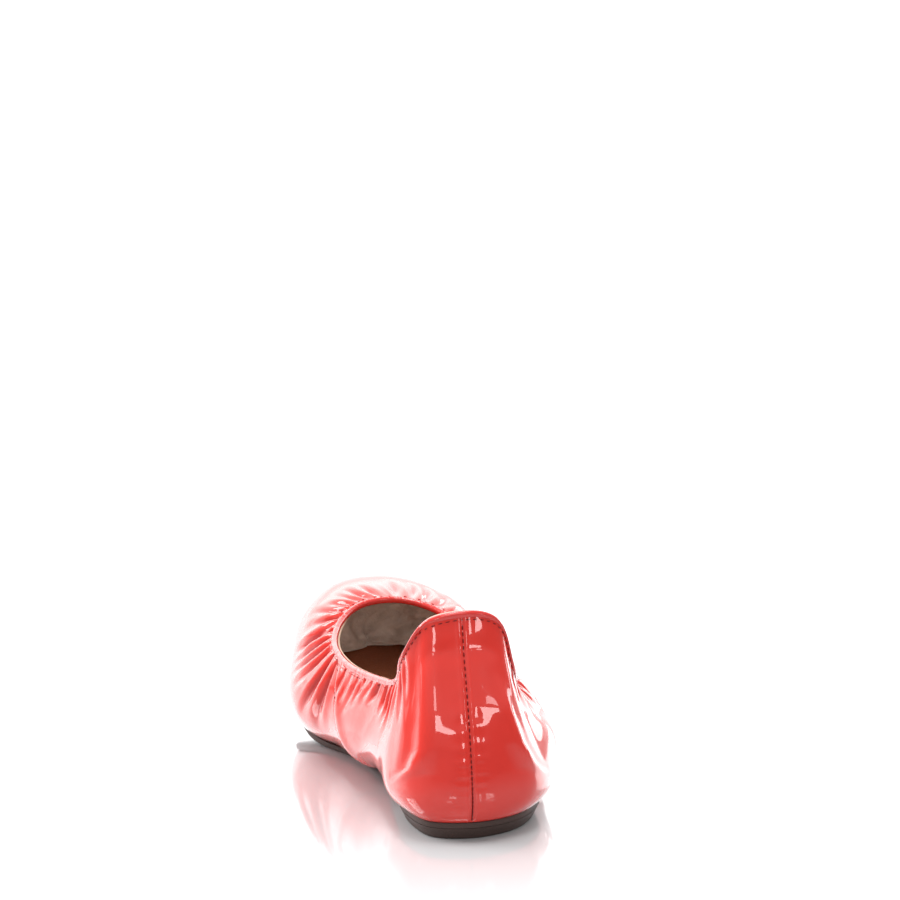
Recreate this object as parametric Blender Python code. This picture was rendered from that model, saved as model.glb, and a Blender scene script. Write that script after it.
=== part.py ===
"""Ballet flat for a right foot: a gathered hollow upper, an elastic topline, a thin sole and a low heel.

The toe points along +Y, +Z is up and +X is the outer side of the foot. Sizes are in metres. The shoe stands on
z = 0 and the middle of its box is over the origin.
"""
import bpy
import bmesh
import numpy as np
from mathutils import Vector

# Driving sizes of the last
SOLE_LENGTH = 0.221
BALL_WIDTH = 0.075
HEEL_WIDTH = 0.0505
COUNTER_HEIGHT = 0.0817
SIDE_HEIGHT = 0.048
THROAT_HEIGHT = 0.0543

# Sole and heel
OUTSOLE_THICKNESS = 0.0023
OUTSOLE_PROUD = 0.0005
HEEL_LIFT_HEIGHT = 0.0041
HEEL_DRAFT = 0.0022
HEEL_EDGE_BEVEL = 0.0006
BREAST_LEAN = 0.25
TOE_RAMP_DEGREES = 14.5
BALL_BEND_RADIUS = 0.070

# Upper, binding and insole
WALL = 0.0016
TURNED_IN = 0.0050
QUARTER_STEP = 0.0008
BINDING_THICKNESS = 0.0009
BINDING_DEPTH = 0.0032
INSOLE_THICKNESS = 0.0020

# Gap between pieces that meet. Under the binding's crown it is measured up the wall, which the topline crosses
# at a slant behind the ankle, so it is wider there.
CLEARANCE = 0.0003
CROWN_ROOM = 2.0 * CLEARANCE

# Stations along the sole, as shares of its length from the heel
HEEL_BREAST = 0.250
ARCH_START = 0.265
TREAD_START = 0.485
TREAD_END = 0.575
WIDTH_GROWS_FROM = 0.15
WIDTH_GROWS_TO = 0.60

# How finely the solids are faceted
COLUMNS = 112
WALL_ROWS = 11
OUTLINE_POINTS = 96
ARCH_STEPS = 8
BEND_STEPS = 5

# A section for each row, going round from the heel's back along the inner side, the toe and the outer side.
# sole_x and top_x are shares of the half width there, sole_y and top_y shares of the sole's length, and rise is a
# share of the height that the row follows. The last four columns are the leaning of the wall as it leaves the
# sole and as it reaches the topline, outwards and upwards, in shares of the section's own reach.
SECTION_COLUMNS = ("name", "sole_x", "sole_y", "top_x", "top_y", "follows", "rise",
                   "low_out", "low_up", "high_out", "high_up")
SECTIONS = (
    ("heel_back",        -0.03, 0.000, -0.05, 0.063, "counter", 1.000, 0.13, 0.14,  0.08, -0.37),
    ("heel_back_inner",  -0.57, 0.020, -0.55, 0.068, "counter", 0.964, 0.15, 0.14,  0.04, -0.36),
    ("heel_inner",       -0.79, 0.100, -0.81, 0.095, "counter", 0.814, 0.21, 0.14, -0.02, -0.41),
    ("heel_front_inner", -0.70, 0.213, -0.75, 0.176, "side",    1.085, 0.27, 0.13,  0.07, -0.31),
    ("waist_inner",      -0.50, 0.376, -0.81, 0.294, "side",    0.965, 0.38, 0.08,  0.13, -0.34),
    ("instep_inner",     -0.62, 0.516, -0.85, 0.416, "side",    0.935, 0.35, 0.10,  0.18, -0.33),
    ("ball_inner",       -0.96, 0.656, -0.79, 0.534, "side",    0.975, 0.32, 0.20,  0.27, -0.27),
    ("toe_side_inner",   -0.96, 0.796, -0.61, 0.629, "throat",  0.927, 0.14, 0.25,  0.28, -0.07),
    ("toe_inner",        -0.71, 0.930, -0.29, 0.692, "throat",  0.991, 0.08, 0.32,  0.37,  0.11),
    ("toe_tip",          -0.08, 1.000,  0.08, 0.710, "throat",  1.000, 0.07, 0.37,  0.53,  0.14),
    ("toe_outer",         0.60, 0.945,  0.40, 0.688, "throat",  0.955, 0.11, 0.30,  0.47,  0.08),
    ("toe_side_outer",    0.88, 0.819,  0.67, 0.620, "throat",  0.873, 0.14, 0.25,  0.36, -0.07),
    ("ball_outer",        1.01, 0.674,  0.85, 0.520, "side",    0.927, 0.19, 0.21,  0.27, -0.23),
    ("instep_outer",      1.04, 0.529,  0.97, 0.412, "side",    0.896, 0.27, 0.16,  0.27, -0.27),
    ("waist_outer",       1.12, 0.385,  1.03, 0.294, "side",    0.896, 0.39, 0.18,  0.32, -0.25),
    ("heel_front_outer",  1.27, 0.222,  0.94, 0.186, "side",    0.935, 0.44, 0.23,  0.27, -0.27),
    ("heel_outer",        1.17, 0.104,  0.75, 0.100, "counter", 0.745, 0.23, 0.16, -0.05, -0.37),
    ("heel_back_outer",   0.67, 0.027,  0.47, 0.072, "counter", 0.958, 0.15, 0.14,  0.04, -0.36),
)
HEIGHTS = {"counter": COUNTER_HEIGHT, "side": SIDE_HEIGHT, "throat": THROAT_HEIGHT}

# The side seams, as shares of the way round at the sole and at the topline. The quarters lie between them.
SEAM_SOLE = {"inner": 0.180, "outer": 0.815}
SEAM_TOP = {"inner": 0.280, "outer": 0.715}
SEAM_BLEND = 0.006


def smooth_step(start, end, value):
    """Rise from 0 at start to 1 at end with level ends."""
    t = np.clip((value - start) / (end - start), 0.0, 1.0)
    return t * t * (3.0 - 2.0 * t)


def half_width(share):
    """Half of the last's width at a share of the sole's length."""
    grown = smooth_step(WIDTH_GROWS_FROM, WIDTH_GROWS_TO, share)
    return (HEEL_WIDTH + (BALL_WIDTH - HEEL_WIDTH) * grown) / 2.0


def toe_spring(y):
    """Height of the sole's line over the floor in front of the tread: an arc, then a straight ramp."""
    ramp = np.radians(TOE_RAMP_DEGREES)
    past = np.maximum(y - TREAD_END * SOLE_LENGTH, 0.0)
    arc_end = BALL_BEND_RADIUS * np.sin(ramp)
    on_arc = np.minimum(past, arc_end)
    arc = BALL_BEND_RADIUS - np.sqrt(BALL_BEND_RADIUS ** 2 - on_arc ** 2)
    return arc + np.maximum(past - arc_end, 0.0) * np.tan(ramp)


def outsole_bottom(y):
    """Height of the outsole's lower face: the heel seat, the arch, the flat tread and the toe spring."""
    heel_seat = HEEL_LIFT_HEIGHT + CLEARANCE
    lifted = 1.0 - smooth_step(ARCH_START * SOLE_LENGTH, TREAD_START * SOLE_LENGTH, y)
    return heel_seat * lifted + toe_spring(y)


def outsole_top(y):
    return outsole_bottom(y) + OUTSOLE_THICKNESS


def periodic_curve(knots, values, at):
    """Smooth closed curve through a value at each knot, with the knots running from 0 to 1 round the shoe."""
    knots3 = np.concatenate([knots - 1.0, knots, knots + 1.0])
    values3 = np.concatenate([values] * 3)
    steps = np.diff(knots3)
    slopes = np.diff(values3, axis=0) / steps[:, None]
    tangents = np.zeros_like(values3)
    weights = (steps[:-1] + steps[1:])[:, None]
    tangents[1:-1] = (slopes[:-1] * steps[1:, None] + slopes[1:] * steps[:-1, None]) / weights
    index = np.clip(np.searchsorted(knots3, at, side="right") - 1, 0, len(knots3) - 2)
    t = ((at - knots3[index]) / steps[index])[:, None]
    span = steps[index][:, None]
    return ((2 * t**3 - 3 * t**2 + 1) * values3[index] + (t**3 - 2 * t**2 + t) * span * tangents[index]
            + (-2 * t**3 + 3 * t**2) * values3[index + 1] + (t**3 - t**2) * span * tangents[index + 1])


def section_sizes():
    """The table's rows in metres, as an array, and the share of the way round at which each row stands."""
    rows = []
    for row in SECTIONS:
        section = dict(zip(SECTION_COLUMNS, row))
        rows.append((section["sole_x"] * half_width(section["sole_y"]),
                     section["sole_y"] * SOLE_LENGTH,
                     section["top_x"] * half_width(section["top_y"]),
                     section["top_y"] * SOLE_LENGTH,
                     section["rise"] * HEIGHTS[section["follows"]],
                     section["low_out"], section["low_up"], section["high_out"], section["high_up"]))
    sizes = np.array(rows)
    chords = np.linalg.norm(np.roll(sizes[:, :2], -1, axis=0) - sizes[:, :2], axis=1) ** 0.9
    knots = np.concatenate([[0.0], np.cumsum(chords)[:-1]]) / chords.sum()
    return knots, sizes


KNOTS, SIZES = section_sizes()


def feather_line(around):
    """The sole's outline under the wall, with the level direction that points out of the shoe there."""
    nudge = 1e-4
    here = periodic_curve(KNOTS, SIZES, around)
    ahead = periodic_curve(KNOTS, SIZES, around + nudge)[:, :2]
    behind = periodic_curve(KNOTS, SIZES, around - nudge)[:, :2]
    along = ahead - behind
    along /= np.linalg.norm(along, axis=1)[:, None]
    outwards = np.stack([-along[:, 1], along[:, 0]], axis=1)
    return here, outwards


def wall_curve(around, up):
    """Points of the last's side, around it and up from the sole (0) to the topline (1)."""
    around = around % 1.0
    here, outwards = feather_line(around)
    foot = np.column_stack([here[:, :2], outsole_top(here[:, 1]) + CLEARANCE])
    top = here[:, 2:5]
    reach = np.linalg.norm(top - foot, axis=1)[:, None]
    out = np.column_stack([outwards, np.zeros(len(around))])
    rise = np.array([0.0, 0.0, 1.0])
    low = foot + reach * (out * here[:, 5:6] + rise * here[:, 6:7])
    high = top + reach * (out * here[:, 7:8] + rise * here[:, 8:9])
    t = up[:, None]
    points = (1 - t)**3 * foot + 3 * (1 - t)**2 * t * low + 3 * (1 - t) * t**2 * high + t**3 * top
    end_speed = 3.0 * np.linalg.norm(top - high, axis=1)
    return points, end_speed


def wall_point(around, up, offset):
    """Points at an offset outside the last's side, measured square to it."""
    nudge = 1e-4
    below = np.clip(up - nudge, 0.0, 1.0)
    above = np.clip(up + nudge, 0.0, 1.0)
    points, _ = wall_curve(around, up)
    upwards = wall_curve(around, above)[0] - wall_curve(around, below)[0]
    along = wall_curve(around + nudge, up)[0] - wall_curve(around - nudge, up)[0]
    normal = np.cross(upwards, along)
    normal /= np.linalg.norm(normal, axis=1)[:, None]
    return points + normal * np.asarray(offset)[..., None]


def below_topline(around, depth):
    """The share of the way up at which a depth under the topline lies."""
    _, end_speed = wall_curve(around, np.ones(len(around)))
    return 1.0 - depth / end_speed


def sole_point(around, inset, height):
    """Points level with the sole at an inset from the feather line, at a height over the outsole."""
    here, outwards = feather_line(around % 1.0)
    place = here[:, :2] - outwards * inset
    return np.column_stack([place, outsole_top(place[:, 1]) + height])


def quarter_step(around, up):
    """How far the quarters lie proud of the vamp: the full step behind the side seams, nothing in front."""
    inner = SEAM_SOLE["inner"] + (SEAM_TOP["inner"] - SEAM_SOLE["inner"]) * up
    outer = SEAM_SOLE["outer"] + (SEAM_TOP["outer"] - SEAM_SOLE["outer"]) * up
    vamp = smooth_step(inner, inner + SEAM_BLEND, around) * (1 - smooth_step(outer - SEAM_BLEND, outer, around))
    return QUARTER_STEP * (1.0 - vamp)


def column_shares():
    """Columns of the wall from the back seam on, spaced evenly along the sole's line and the topline together."""
    fine = np.linspace(0.0, 1.0, 40 * COLUMNS + 1)
    lengths = np.zeros(len(fine) - 1)
    for up in (0.0, 1.0, 1.0):
        line, _ = wall_curve(fine, np.full(len(fine), up))
        lengths += np.linalg.norm(np.diff(line, axis=0), axis=1)
    gone = np.concatenate([[0.0], np.cumsum(lengths)]) / lengths.sum()
    return np.interp(np.arange(COLUMNS) / COLUMNS, gone, fine)


def material(name, color, roughness, coat=0.0):
    made = bpy.data.materials.new(name)
    made.use_nodes = True
    shader = made.node_tree.nodes["Principled BSDF"]
    shader.inputs["Base Color"].default_value = (*color, 1.0)
    shader.inputs["Roughness"].default_value = roughness
    shader.inputs["Metallic"].default_value = 0.0
    shader.inputs["Coat Weight"].default_value = coat
    return made


def finish(bm, name, finish_material=None, sharp_degrees=40.0):
    """Turn a bmesh into a smoothly shaded object of its own."""
    mesh = bpy.data.meshes.new(name)
    bm.to_mesh(mesh)
    bm.free()
    mesh.shade_smooth()
    mesh.set_sharp_from_angle(angle=np.radians(sharp_degrees))
    made = bpy.data.objects.new(name, mesh)
    bpy.context.scene.collection.objects.link(made)
    if finish_material:
        mesh.materials.append(finish_material)
    return made


def rolled_sheet(name, places, finish_material):
    """Roll a flat grid round the last and close its section too. places[column, row] says where it goes."""
    columns, rows = places.shape[:2]
    bm = bmesh.new()
    bmesh.ops.create_grid(bm, x_segments=columns, y_segments=rows, size=1.0)
    for vertex in bm.verts:
        column = round((vertex.co.x + 1.0) / 2.0 * columns) % columns
        row = round((vertex.co.y + 1.0) / 2.0 * rows) % rows
        vertex.co = places[column, row]
    bmesh.ops.remove_doubles(bm, verts=bm.verts, dist=1e-6)
    bmesh.ops.recalc_face_normals(bm, faces=bm.faces)
    return finish(bm, name, finish_material)


def wall_rows(around):
    """Shares of the way up for each row of the wall: even ones, then those that the binding covers."""
    covered = below_topline(around, BINDING_DEPTH)
    rows = [covered * share for share in np.arange(1, WALL_ROWS + 1) / WALL_ROWS]
    rows.append(below_topline(around, BINDING_DEPTH / 2.0))
    rows.append(below_topline(around, BINDING_THICKNESS + CROWN_ROOM))
    return rows


def build_upper(finish_material):
    """The hollow shell: outer wall, topline edge, inner wall and the edge turned in over the outsole."""
    around = column_shares()
    rows = wall_rows(around)
    loop = [sole_point(around, TURNED_IN, CLEARANCE), sole_point(around, 0.0, CLEARANCE)]
    loop += [wall_point(around, up, quarter_step(around, up)) for up in rows]
    loop += [wall_point(around, up, np.full(COLUMNS, -WALL)) for up in reversed(rows)]
    here, _ = feather_line(around)
    leaning = np.arctan2(here[:, 6], here[:, 5])
    inner_foot = WALL * np.tan(leaning / 2.0)
    loop.append(sole_point(around, inner_foot[:, None], CLEARANCE + WALL))
    loop.append(sole_point(around, TURNED_IN, CLEARANCE + WALL))
    return rolled_sheet("upper", np.stack(loop, axis=1), finish_material)


def build_binding(finish_material):
    """The elastic's casing: a channel over the topline with an outer leg, a round crown and an inner leg."""
    around = column_shares()
    outside = CLEARANCE + BINDING_THICKNESS
    inside = -WALL - CLEARANCE
    middle = (outside + inside - BINDING_THICKNESS) / 2.0
    crown_half = outside - middle
    profile = [(outside, BINDING_DEPTH), (outside, BINDING_DEPTH / 2.0)]
    for step in range(5):
        angle = np.pi * step / 4.0
        profile.append((middle + crown_half * np.cos(angle), crown_half * 0.6 * (1.0 - np.sin(angle))))
    profile += [(inside - BINDING_THICKNESS, BINDING_DEPTH / 2.0), (inside - BINDING_THICKNESS, BINDING_DEPTH),
                (inside, BINDING_DEPTH), (inside, BINDING_DEPTH / 2.0), (inside, BINDING_THICKNESS),
                (CLEARANCE, BINDING_THICKNESS), (CLEARANCE, BINDING_DEPTH / 2.0), (CLEARANCE, BINDING_DEPTH)]
    loop = []
    for offset, depth in profile:
        up = below_topline(around, depth)
        step = quarter_step(around, up) if offset > 0 else 0.0
        loop.append(wall_point(around, up, np.full(COLUMNS, offset) + step))
    return rolled_sheet("topline_binding", np.stack(loop, axis=1), finish_material)


def plan_cutter(name, inset):
    """A prism of the sole's outline, taller than the shoe and out of sight, that trims a plate to its plan."""
    low, high = -0.25 * COUNTER_HEIGHT, COUNTER_HEIGHT
    outline = sole_point(np.arange(OUTLINE_POINTS) / OUTLINE_POINTS, inset, 0.0)[:, :2]
    bm = bmesh.new()
    circle = bmesh.ops.create_circle(bm, cap_ends=True, segments=OUTLINE_POINTS, radius=1.0)
    for vertex, place in zip(circle["verts"], outline):
        vertex.co = (place[0], place[1], low)
    raised = bmesh.ops.extrude_face_region(bm, geom=bm.faces[:])
    lifted = [item for item in raised["geom"] if isinstance(item, bmesh.types.BMVert)]
    bmesh.ops.translate(bm, verts=lifted, vec=(0.0, 0.0, high - low))
    bmesh.ops.recalc_face_normals(bm, faces=bm.faces)
    cutter = finish(bm, name)
    cutter.hide_render = True
    cutter.hide_set(True)
    cutter.display_type = "WIRE"
    return cutter


def side_stations():
    """Places along the sole where its side profile bends."""
    ramp_end = TREAD_END * SOLE_LENGTH + BALL_BEND_RADIUS * np.sin(np.radians(TOE_RAMP_DEGREES))
    arch = np.linspace(ARCH_START, TREAD_START, ARCH_STEPS + 1) * SOLE_LENGTH
    bend = np.linspace(TREAD_END * SOLE_LENGTH, ramp_end, BEND_STEPS + 1)
    overrun = 0.05 * SOLE_LENGTH
    return np.concatenate([[-overrun], arch, bend, [SOLE_LENGTH + overrun]])


def build_plate(name, height, thickness, inset, finish_material):
    """A bent plate: its side profile drawn across the shoe, trimmed by the sole's outline."""
    stations = side_stations()
    lower = outsole_top(stations) + height
    profile = [(y, z) for y, z in zip(stations, lower)]
    profile += [(y, z + thickness) for y, z in zip(stations[::-1], lower[::-1])]
    bm = bmesh.new()
    circle = bmesh.ops.create_circle(bm, cap_ends=True, segments=len(profile), radius=1.0)
    for vertex, place in zip(circle["verts"], profile):
        vertex.co = (-BALL_WIDTH, place[0], place[1])
    across = bmesh.ops.extrude_face_region(bm, geom=bm.faces[:])
    moved = [item for item in across["geom"] if isinstance(item, bmesh.types.BMVert)]
    bmesh.ops.translate(bm, verts=moved, vec=(2.0 * BALL_WIDTH, 0.0, 0.0))
    bmesh.ops.recalc_face_normals(bm, faces=bm.faces)
    plate = finish(bm, name, finish_material)
    trim = plate.modifiers.new("plan", "BOOLEAN")
    trim.operation = "INTERSECT"
    trim.object = plan_cutter(name + "_plan", inset)
    return plate


def build_heel_lift(finish_material):
    """The low heel: the outline at the heel seat, drawn in towards the floor and cut off at the breast."""
    outline = sole_point(np.arange(OUTLINE_POINTS) / OUTLINE_POINTS, -OUTSOLE_PROUD, 0.0)[:, :2]
    tread = sole_point(np.arange(OUTLINE_POINTS) / OUTLINE_POINTS, HEEL_DRAFT - OUTSOLE_PROUD, 0.0)[:, :2]
    bm = bmesh.new()
    circle = bmesh.ops.create_circle(bm, cap_ends=True, segments=OUTLINE_POINTS, radius=1.0)
    for vertex, place in zip(circle["verts"], tread):
        vertex.co = (place[0], place[1], 0.0)
    raised = bmesh.ops.extrude_face_region(bm, geom=bm.faces[:])
    lifted = [item for item in raised["geom"] if isinstance(item, bmesh.types.BMVert)]
    for vertex in lifted:
        nearest = int(np.argmin(np.linalg.norm(tread - np.array(vertex.co[:2]), axis=1)))
        vertex.co = (outline[nearest][0], outline[nearest][1], HEEL_LIFT_HEIGHT)
    breast = Vector((0.0, HEEL_BREAST * SOLE_LENGTH, 0.0))
    breast_leans = Vector((0.0, 1.0, -BREAST_LEAN))
    cut = bmesh.ops.bisect_plane(bm, geom=bm.verts[:] + bm.edges[:] + bm.faces[:], plane_co=breast,
                                 plane_no=breast_leans, clear_outer=True)
    open_edges = [item for item in cut["geom_cut"] if isinstance(item, bmesh.types.BMEdge)]
    bmesh.ops.contextual_create(bm, geom=open_edges)
    bmesh.ops.recalc_face_normals(bm, faces=bm.faces)
    bottom_edges = [edge for edge in bm.edges
                    if all(vertex.co.z < 1e-6 for vertex in edge.verts) and len(edge.link_faces) == 2]
    bmesh.ops.bevel(bm, geom=bottom_edges, offset=HEEL_EDGE_BEVEL, segments=2, profile=0.5, affect="EDGES",
                    material=-1)
    return finish(bm, "heel_lift", finish_material)


def stand_on_origin(pieces):
    """Move everything so that the middle of the shoe's box is over the origin."""
    bpy.context.view_layer.update()
    graph = bpy.context.evaluated_depsgraph_get()
    corners = []
    for piece in pieces:
        mesh = piece.evaluated_get(graph).to_mesh()
        places = np.empty(len(mesh.vertices) * 3)
        mesh.vertices.foreach_get("co", places)
        corners.append(places.reshape(-1, 3))
    places = np.concatenate(corners)
    middle = (places.min(axis=0) + places.max(axis=0)) / 2.0
    for thing in bpy.data.objects:
        thing.location = (-middle[0], -middle[1], 0.0)


def main():
    for old in list(bpy.data.objects):
        bpy.data.objects.remove(old, do_unlink=True)
    patent = material("red_patent", (0.60, 0.020, 0.018), 0.12, coat=1.0)
    edge = material("red_binding", (0.55, 0.018, 0.016), 0.16, coat=0.8)
    sock = material("brown_sock", (0.13, 0.05, 0.02), 0.55)
    rubber = material("dark_rubber", (0.045, 0.036, 0.032), 0.6)
    pieces = [
        build_upper(patent),
        build_binding(edge),
        build_plate("insole", CLEARANCE + WALL + CLEARANCE, INSOLE_THICKNESS, WALL + CLEARANCE, sock),
        build_plate("outsole", -OUTSOLE_THICKNESS, OUTSOLE_THICKNESS, -OUTSOLE_PROUD, rubber),
        build_heel_lift(rubber),
    ]
    stand_on_origin(pieces)


main()
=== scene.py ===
# %% [markdown]
# A gathered ballet flat in red patent, seen from behind. The real shoe is a thin glossy skin, sewn from a
# vamp and two quarters, that a hidden elastic pulls together all round its opening. It is glued over a
# leather insole and under that a thin rubber sole with a low heel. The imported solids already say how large
# everything is and where it stands, so this lesson only dresses them: every new piece sits where its solid
# sits.

# %% Load the frame
import bpy
import bmesh
import numpy as np
from mathutils import Matrix, Vector


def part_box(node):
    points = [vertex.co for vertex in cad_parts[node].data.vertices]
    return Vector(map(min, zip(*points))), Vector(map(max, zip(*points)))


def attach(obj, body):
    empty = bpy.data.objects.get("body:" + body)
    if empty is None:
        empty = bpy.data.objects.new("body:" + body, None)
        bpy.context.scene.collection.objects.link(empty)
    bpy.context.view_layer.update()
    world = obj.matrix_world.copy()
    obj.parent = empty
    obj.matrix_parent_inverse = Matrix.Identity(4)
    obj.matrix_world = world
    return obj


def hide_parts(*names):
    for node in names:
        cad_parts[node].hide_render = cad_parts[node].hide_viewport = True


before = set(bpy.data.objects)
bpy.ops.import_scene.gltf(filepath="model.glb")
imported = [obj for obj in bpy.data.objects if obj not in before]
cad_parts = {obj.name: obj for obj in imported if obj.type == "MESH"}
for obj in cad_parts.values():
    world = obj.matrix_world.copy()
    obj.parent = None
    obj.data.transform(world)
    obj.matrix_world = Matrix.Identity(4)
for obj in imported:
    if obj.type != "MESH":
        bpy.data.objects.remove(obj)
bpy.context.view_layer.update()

MM = 0.001

# %% [markdown]
# The shape of the last. A shoemaker describes a last by sections: how wide and how high it is at the heel,
# the waist, the ball and the toe. Each row below is one section. It says where the wall leaves the sole,
# where it reaches the topline, and how it leans at both ends. A smooth closed curve joins the rows, so that
# any point round the shoe can be asked for. The alternative, to push the vertices of a box about by hand,
# gives no way to ask where the topline is, and the stitches, the folds and the lining all need that.

# %% Sizes of the last and of its pieces
SOLE_LENGTH = 221.0 * MM
BALL_WIDTH = 75.0 * MM
HEEL_WIDTH = 50.5 * MM
HEIGHTS = {"counter": 81.7 * MM, "side": 48.0 * MM, "throat": 54.3 * MM}
OUTSOLE_THICKNESS = 2.3 * MM
OUTSOLE_PROUD = 0.5 * MM
HEEL_LIFT_HEIGHT = 4.1 * MM
HEEL_DRAFT = 2.2 * MM
TOE_RAMP = np.radians(14.5)
BALL_BEND_RADIUS = 70.0 * MM
WALL = 1.6 * MM
TURNED_IN = 5.0 * MM
QUARTER_STEP = 0.8 * MM
INSOLE_THICKNESS = 2.0 * MM
CLEARANCE = 0.3 * MM
HEEL_BREAST, ARCH_START, TREAD_START, TREAD_END = 0.250, 0.265, 0.485, 0.575
BREAST_LEAN = 0.25
WIDTH_GROWS = (0.15, 0.60)
NUDGE = 1e-4

SECTION_COLUMNS = ("name", "sole_x", "sole_y", "top_x", "top_y", "follows", "rise",
                   "low_out", "low_up", "high_out", "high_up")
SECTIONS = (
    ("heel_back",        -0.03, 0.000, -0.05, 0.063, "counter", 1.000, 0.13, 0.14,  0.08, -0.37),
    ("heel_back_inner",  -0.57, 0.020, -0.55, 0.068, "counter", 0.964, 0.15, 0.14,  0.04, -0.36),
    ("heel_inner",       -0.79, 0.100, -0.81, 0.095, "counter", 0.814, 0.21, 0.14, -0.02, -0.41),
    ("heel_front_inner", -0.70, 0.213, -0.75, 0.176, "side",    1.085, 0.27, 0.13,  0.07, -0.31),
    ("waist_inner",      -0.50, 0.376, -0.81, 0.294, "side",    0.965, 0.38, 0.08,  0.13, -0.34),
    ("instep_inner",     -0.62, 0.516, -0.85, 0.416, "side",    0.935, 0.35, 0.10,  0.18, -0.33),
    ("ball_inner",       -0.96, 0.656, -0.79, 0.534, "side",    0.975, 0.32, 0.20,  0.27, -0.27),
    ("toe_side_inner",   -0.96, 0.796, -0.61, 0.629, "throat",  0.927, 0.14, 0.25,  0.28, -0.07),
    ("toe_inner",        -0.71, 0.930, -0.29, 0.692, "throat",  0.991, 0.08, 0.32,  0.37,  0.11),
    ("toe_tip",          -0.08, 1.000,  0.08, 0.710, "throat",  1.000, 0.07, 0.37,  0.53,  0.14),
    ("toe_outer",         0.60, 0.945,  0.40, 0.688, "throat",  0.955, 0.11, 0.30,  0.47,  0.08),
    ("toe_side_outer",    0.88, 0.819,  0.67, 0.620, "throat",  0.873, 0.14, 0.25,  0.36, -0.07),
    ("ball_outer",        1.01, 0.674,  0.85, 0.520, "side",    0.927, 0.19, 0.21,  0.27, -0.23),
    ("instep_outer",      1.04, 0.529,  0.97, 0.412, "side",    0.896, 0.27, 0.16,  0.27, -0.27),
    ("waist_outer",       1.12, 0.385,  1.03, 0.294, "side",    0.896, 0.39, 0.18,  0.32, -0.25),
    ("heel_front_outer",  1.27, 0.222,  0.94, 0.186, "side",    0.935, 0.44, 0.23,  0.27, -0.27),
    ("heel_outer",        1.17, 0.104,  0.75, 0.100, "counter", 0.745, 0.23, 0.16, -0.05, -0.37),
    ("heel_back_outer",   0.67, 0.027,  0.47, 0.072, "counter", 0.958, 0.15, 0.14,  0.04, -0.36),
)


# %% Curves of the sole's side view
def smooth_step(start, end, value):
    """Rise from 0 at start to 1 at end with level ends."""
    t = np.clip((value - start) / (end - start), 0.0, 1.0)
    return t * t * (3.0 - 2.0 * t)


def half_width(share):
    grown = smooth_step(*WIDTH_GROWS, share)
    return (HEEL_WIDTH + (BALL_WIDTH - HEEL_WIDTH) * grown) / 2.0


def toe_spring(y):
    """Height of the sole's line in front of the tread: an arc, then a straight ramp."""
    past = np.maximum(y - TREAD_END * SOLE_LENGTH, 0.0)
    arc_end = BALL_BEND_RADIUS * np.sin(TOE_RAMP)
    on_arc = np.minimum(past, arc_end)
    arc = BALL_BEND_RADIUS - np.sqrt(BALL_BEND_RADIUS ** 2 - on_arc ** 2)
    return arc + np.maximum(past - arc_end, 0.0) * np.tan(TOE_RAMP)


def outsole_bottom(y):
    lifted = 1.0 - smooth_step(ARCH_START * SOLE_LENGTH, TREAD_START * SOLE_LENGTH, y)
    return (HEEL_LIFT_HEIGHT + CLEARANCE) * lifted + toe_spring(y)


def outsole_top(y):
    return outsole_bottom(y) + OUTSOLE_THICKNESS


# %% The closed curve through the sections
def periodic_curve(knots, values, at):
    """Smooth closed curve through a value at each knot. The knots run from 0 to 1 round the shoe."""
    knots3 = np.concatenate([knots - 1.0, knots, knots + 1.0])
    values3 = np.concatenate([values] * 3)
    steps = np.diff(knots3)
    slopes = np.diff(values3, axis=0) / steps[:, None]
    tangents = np.zeros_like(values3)
    weights = (steps[:-1] + steps[1:])[:, None]
    tangents[1:-1] = (slopes[:-1] * steps[1:, None] + slopes[1:] * steps[:-1, None]) / weights
    index = np.clip(np.searchsorted(knots3, at, side="right") - 1, 0, len(knots3) - 2)
    t = ((at - knots3[index]) / steps[index])[:, None]
    span = steps[index][:, None]
    return ((2 * t**3 - 3 * t**2 + 1) * values3[index] + (t**3 - 2 * t**2 + t) * span * tangents[index]
            + (-2 * t**3 + 3 * t**2) * values3[index + 1] + (t**3 - t**2) * span * tangents[index + 1])


def section_sizes():
    """The table's rows in metres, and the share of the way round at which each row stands."""
    rows = []
    for row in SECTIONS:
        section = dict(zip(SECTION_COLUMNS, row))
        rows.append((section["sole_x"] * half_width(section["sole_y"]),
                     section["sole_y"] * SOLE_LENGTH,
                     section["top_x"] * half_width(section["top_y"]),
                     section["top_y"] * SOLE_LENGTH,
                     section["rise"] * HEIGHTS[section["follows"]],
                     section["low_out"], section["low_up"], section["high_out"], section["high_up"]))
    sizes = np.array(rows)
    chords = np.linalg.norm(np.roll(sizes[:, :2], -1, axis=0) - sizes[:, :2], axis=1) ** 0.9
    knots = np.concatenate([[0.0], np.cumsum(chords)[:-1]]) / chords.sum()
    return knots, sizes


KNOTS, SIZES = section_sizes()


# %% The wall of the last as one function
def feather_line(around):
    """The sole's outline under the wall, with the level direction that points out of the shoe there."""
    here = periodic_curve(KNOTS, SIZES, around)
    ahead = periodic_curve(KNOTS, SIZES, around + NUDGE)
    behind = periodic_curve(KNOTS, SIZES, around - NUDGE)
    along = (ahead - behind)[:, :2]
    along /= np.linalg.norm(along, axis=1)[:, None]
    return here, np.stack([-along[:, 1], along[:, 0]], axis=1)


def outline_at(around, inset):
    here, outwards = feather_line(around % 1.0)
    return here[:, :2] - outwards * inset


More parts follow.
